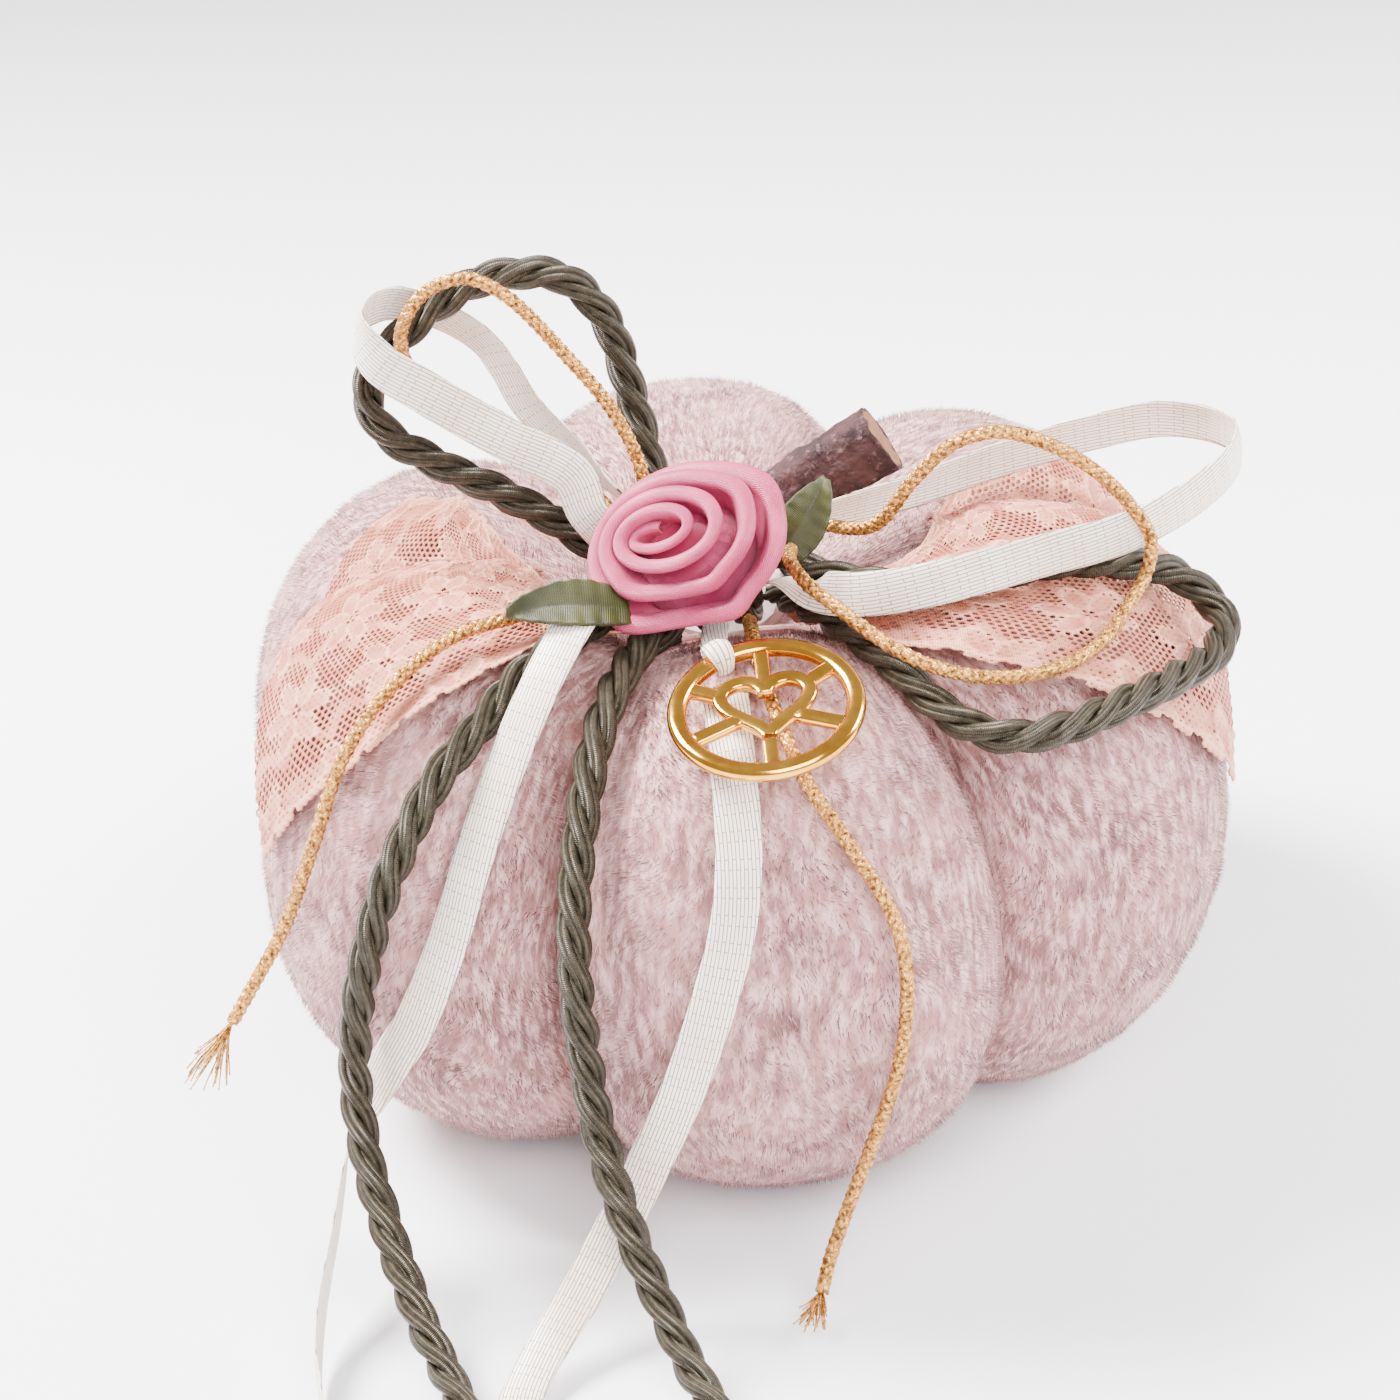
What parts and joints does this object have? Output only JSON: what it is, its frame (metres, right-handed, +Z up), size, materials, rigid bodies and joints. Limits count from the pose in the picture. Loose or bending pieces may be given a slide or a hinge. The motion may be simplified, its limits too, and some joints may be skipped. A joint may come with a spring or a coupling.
{
  "type": "ring bearer pillow",
  "caption": "Velvet ring bearer pillow shaped as a stuffed pumpkin, with a twig stem, lace, a bow of rope, satin ribbon and gold cord, a ribbon rose and a swinging charm.",
  "frame": {"origin": "middle of the felt base disc, on the surface the pillow stands on", "axes": "+Z up, -Y towards the front lobe and the charm, +X to the right seen from the front"},
  "size_m": [0.152, 0.1949, 0.1236],
  "materials": {
    "blush_velvet": "satin",
    "white_fibre": "matte",
    "blush_thread": "satin",
    "ivory_felt": "matte",
    "clear_glue": "satin",
    "twig_bark": "matte",
    "dusty_pink_lace": "matte",
    "sage_rope": "satin",
    "ivory_satin": "satin",
    "gold_lurex": "metallic",
    "rose_satin": "satin",
    "leaf_satin": "satin",
    "polished_gold": "polished"
  },
  "bodies": {
    "pillow": {"velvet_cover": "blush_velvet", "fibre_filling": "white_fibre", "gather_thread_top": "blush_thread", "gather_thread_bottom": "blush_thread", "centre_thread": "blush_thread", "base_disc": "ivory_felt", "stem": "twig_bark", "stem_glue": "clear_glue", "lace_wing_left": "dusty_pink_lace", "lace_wing_right": "dusty_pink_lace", "bow_knot": "sage_rope", "groove_thread_1": "blush_thread", "groove_thread_2": "blush_thread", "groove_thread_3": "blush_thread", "groove_thread_4": "blush_thread", "groove_thread_5": "blush_thread", "groove_thread_6": "blush_thread", "rope_loop_left": "sage_rope", "rope_tail_left": "sage_rope", "rope_end_left": "sage_rope", "gold_loop_left": "gold_lurex", "gold_tail_left": "gold_lurex", "gold_fray_left": "gold_lurex", "satin_loop_left": "ivory_satin", "satin_tail_left": "ivory_satin", "rose_leaf_left": "leaf_satin", "rope_loop_right": "sage_rope", "rope_tail_right": "sage_rope", "rope_end_right": "sage_rope", "gold_loop_right": "gold_lurex", "gold_tail_right": "gold_lurex", "gold_fray_right": "gold_lurex", "satin_loop_right": "ivory_satin", "satin_tail_right": "ivory_satin", "rose_leaf_right": "leaf_satin", "satin_neck": "ivory_satin", "ribbon_rose": "rose_satin"},
    "charm_tie": {"charm_tie": "ivory_satin"},
    "charm": {"charm": "polished_gold"}
  },
  "joints": [
    {"name": "charm_swivel", "type": "hinge", "parent": "pillow", "child": "charm_tie", "pos_m": [-0.00122, -0.04606, 0.0835], "axis": [0, 0, 1], "range_deg": [-20, 20]},
    {"name": "charm_flip", "type": "hinge", "parent": "charm_tie", "child": "charm", "pos_m": [-0.00122, -0.04606, 0.0835], "axis": [-0.8746, -0.4575, -0.1604], "range_deg": [0, 80]}
  ]
}
